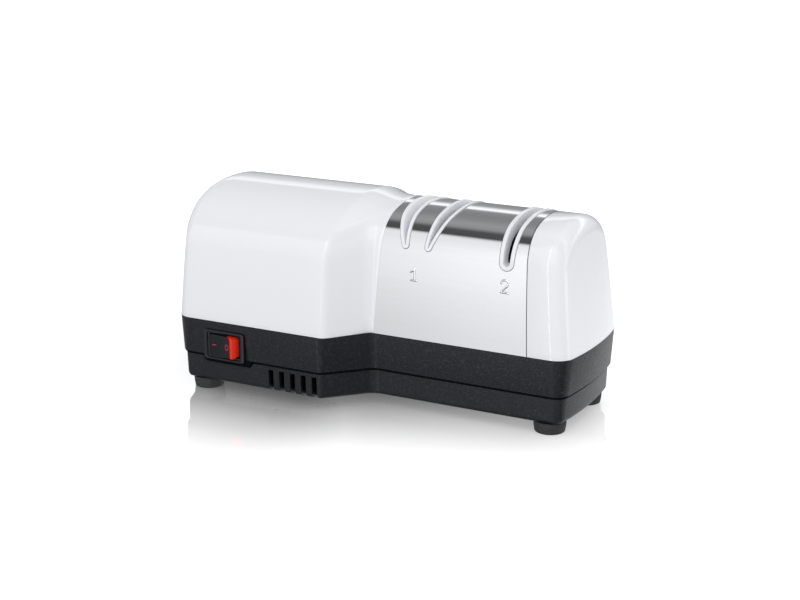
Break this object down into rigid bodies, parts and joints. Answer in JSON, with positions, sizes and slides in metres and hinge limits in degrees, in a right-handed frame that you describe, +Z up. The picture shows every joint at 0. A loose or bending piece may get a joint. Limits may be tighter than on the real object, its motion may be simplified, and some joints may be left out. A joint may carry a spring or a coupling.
{
  "type": "electric knife sharpener",
  "caption": "Electric countertop knife sharpener: slanted and upright blade slots in a steel-clad arch, white motor housing, black base with a rocker switch and rubber feet.",
  "frame": {"origin": "on the ground under the centre of the bounding box", "axes": "+X along the length from the motor end to the sharpening end, -Y towards the switch side, +Z up"},
  "size_m": [0.218, 0.1162, 0.1031],
  "materials": {
    "white_plastic": "glossy moulded white",
    "black_plastic": "fine grained charcoal",
    "inner_plastic": "plain moulded black",
    "rubber": "matt rubber",
    "brushed_steel": "brushed lengthwise",
    "bright_steel": "ground bright",
    "dark_steel": "bare laminations and zinc plate",
    "abrasive": "bonded abrasive grit",
    "copper": "enamelled winding",
    "brass": "sintered bronze and brass",
    "red_plastic": "glossy red"
  },
  "bodies": {
    "housing": {"motor_housing": "white_plastic", "end_cap": "white_plastic", "steel_cover": "brushed_steel", "guide_housing": "white_plastic", "knife_guide_left": "white_plastic", "knife_guide_right": "white_plastic", "knife_guide_fine": "white_plastic", "base_frame": "black_plastic", "base_pan": "black_plastic", "foot_front_left": "rubber", "foot_front_right": "rubber", "foot_back_left": "rubber", "foot_back_right": "rubber", "foot_screw_front_left": "dark_steel", "foot_screw_front_right": "dark_steel", "foot_screw_back_left": "dark_steel", "foot_screw_back_right": "dark_steel", "switch_body": "inner_plastic", "cord_bush": "rubber", "motor_core": "dark_steel", "field_coil_upper": "copper", "field_coil_lower": "copper", "bearing_bracket_left": "dark_steel", "bearing_bracket_right": "dark_steel", "bearing_left": "brass", "bearing_middle": "brass", "bearing_right": "brass", "carbon_brush_front": "inner_plastic", "carbon_brush_back": "inner_plastic", "brush_holder_front": "brass", "brush_holder_back": "brass", "shaft_post": "inner_plastic", "fine_frame": "inner_plastic"},
    "rocker": {"switch_rocker": "red_plastic", "rocker_panel": "inner_plastic"},
    "rotor": {"drive_shaft": "bright_steel", "armature_core": "dark_steel", "armature_winding": "copper", "commutator": "copper", "cooling_fan": "inner_plastic", "shaft_clip_left": "dark_steel", "shaft_clip_right": "dark_steel", "wheel_spring": "dark_steel"},
    "coarse_left": {"coarse_wheel_left": "abrasive"},
    "coarse_right": {"coarse_wheel_right": "abrasive"},
    "fine_left": {"fine_axle_left": "bright_steel", "fine_disc_left_1": "abrasive", "fine_disc_left_2": "abrasive", "fine_disc_left_3": "abrasive", "fine_disc_left_4": "abrasive"},
    "fine_right": {"fine_axle_right": "bright_steel", "fine_disc_right_1": "abrasive", "fine_disc_right_2": "abrasive", "fine_disc_right_3": "abrasive"}
  },
  "joints": [
    {"name": "rocker_tilt", "type": "hinge", "parent": "housing", "child": "rocker", "pos_m": [-0.07035, -0.05285, 0.02665], "axis": [0, 0, 1], "range_deg": [0, 20]},
    {"name": "drive_spin", "type": "hinge", "parent": "housing", "child": "rotor", "pos_m": [0, 0, 0.062], "axis": [1, 0, 0], "continuous": true},
    {"name": "coarse_left_slide", "type": "slide", "parent": "rotor", "child": "coarse_left", "axis": [1, 0, 0], "range_m": [0, 0.0015], "stiffness_N_per_m": 600, "springref_m": -0.004, "deforming": ["wheel_spring"]},
    {"name": "coarse_right_slide", "type": "slide", "parent": "rotor", "child": "coarse_right", "axis": [-1, 0, 0], "range_m": [0, 0.0015], "stiffness_N_per_m": 600, "springref_m": -0.004, "deforming": ["wheel_spring"]},
    {"name": "fine_left_spin", "type": "hinge", "parent": "housing", "child": "fine_left", "pos_m": [0.06775, 0, 0.073], "axis": [0, 1, 0], "continuous": true},
    {"name": "fine_right_spin", "type": "hinge", "parent": "housing", "child": "fine_right", "pos_m": [0.07975, 0, 0.073], "axis": [0, 1, 0], "continuous": true}
  ]
}
